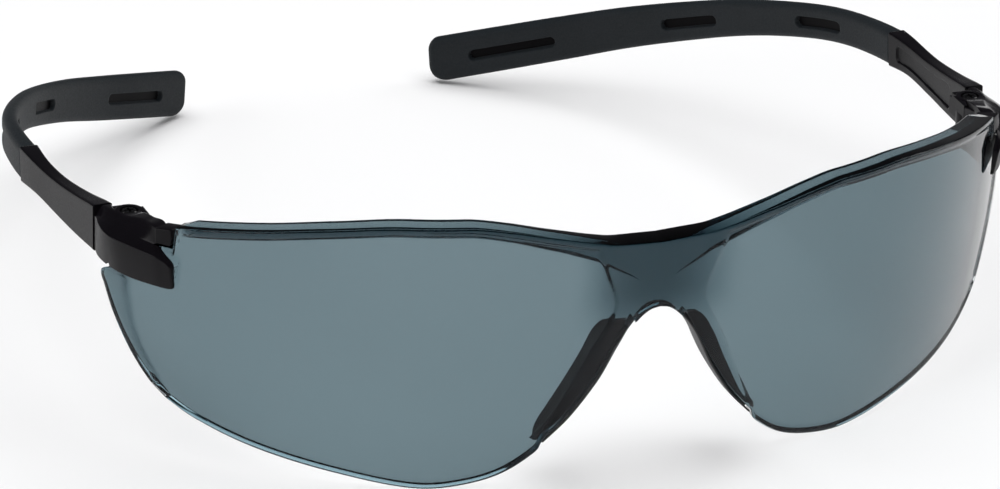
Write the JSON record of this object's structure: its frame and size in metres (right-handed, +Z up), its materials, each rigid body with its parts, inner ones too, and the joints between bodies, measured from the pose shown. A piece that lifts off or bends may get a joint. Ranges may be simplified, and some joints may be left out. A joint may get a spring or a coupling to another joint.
{
  "type": "safety glasses",
  "caption": "Wraparound safety glasses: one-piece smoke lens with a brow ledge, soft nose pads, corner end pieces and folding temples with slotted rubber sleeves.",
  "frame": {"origin": "centre of the footprint, on the ground the glasses stand on", "axes": "+Z up; the wearer looks towards -Y and the temples run towards +Y; +X is the wearer's left"},
  "size_m": [0.1456, 0.1527, 0.0443],
  "materials": {
    "smoke_lens": "clear polycarbonate with a neutral smoke tint, hard coated and polished",
    "hard_plastic": "black nylon, glossy on the bevels and satin on the side faces",
    "sleeve_rubber": "matte charcoal overmoulded rubber",
    "pad_rubber": "soft black matte rubber",
    "screw_metal": "dark plated steel"
  },
  "bodies": {
    "front": {"lens": "smoke_lens", "nose_pad_left": "pad_rubber", "nose_pad_right": "pad_rubber", "end_piece_left": "hard_plastic", "end_piece_right": "hard_plastic", "hinge_screw_left": "screw_metal", "hinge_screw_right": "screw_metal"},
    "temple_left": {"temple_arm_left": "hard_plastic", "temple_sleeve_left": "sleeve_rubber"},
    "temple_right": {"temple_arm_right": "hard_plastic", "temple_sleeve_right": "sleeve_rubber"}
  },
  "joints": [
    {"name": "fold_left", "type": "hinge", "parent": "front", "child": "temple_left", "pos_m": [0.0675, -0.03431, 0.03225], "axis": [0, 0, 1], "range_deg": [0, 75]},
    {"name": "fold_right", "type": "hinge", "parent": "front", "child": "temple_right", "pos_m": [-0.0675, -0.03431, 0.03225], "axis": [0, 0, -1], "range_deg": [0, 68]}
  ]
}
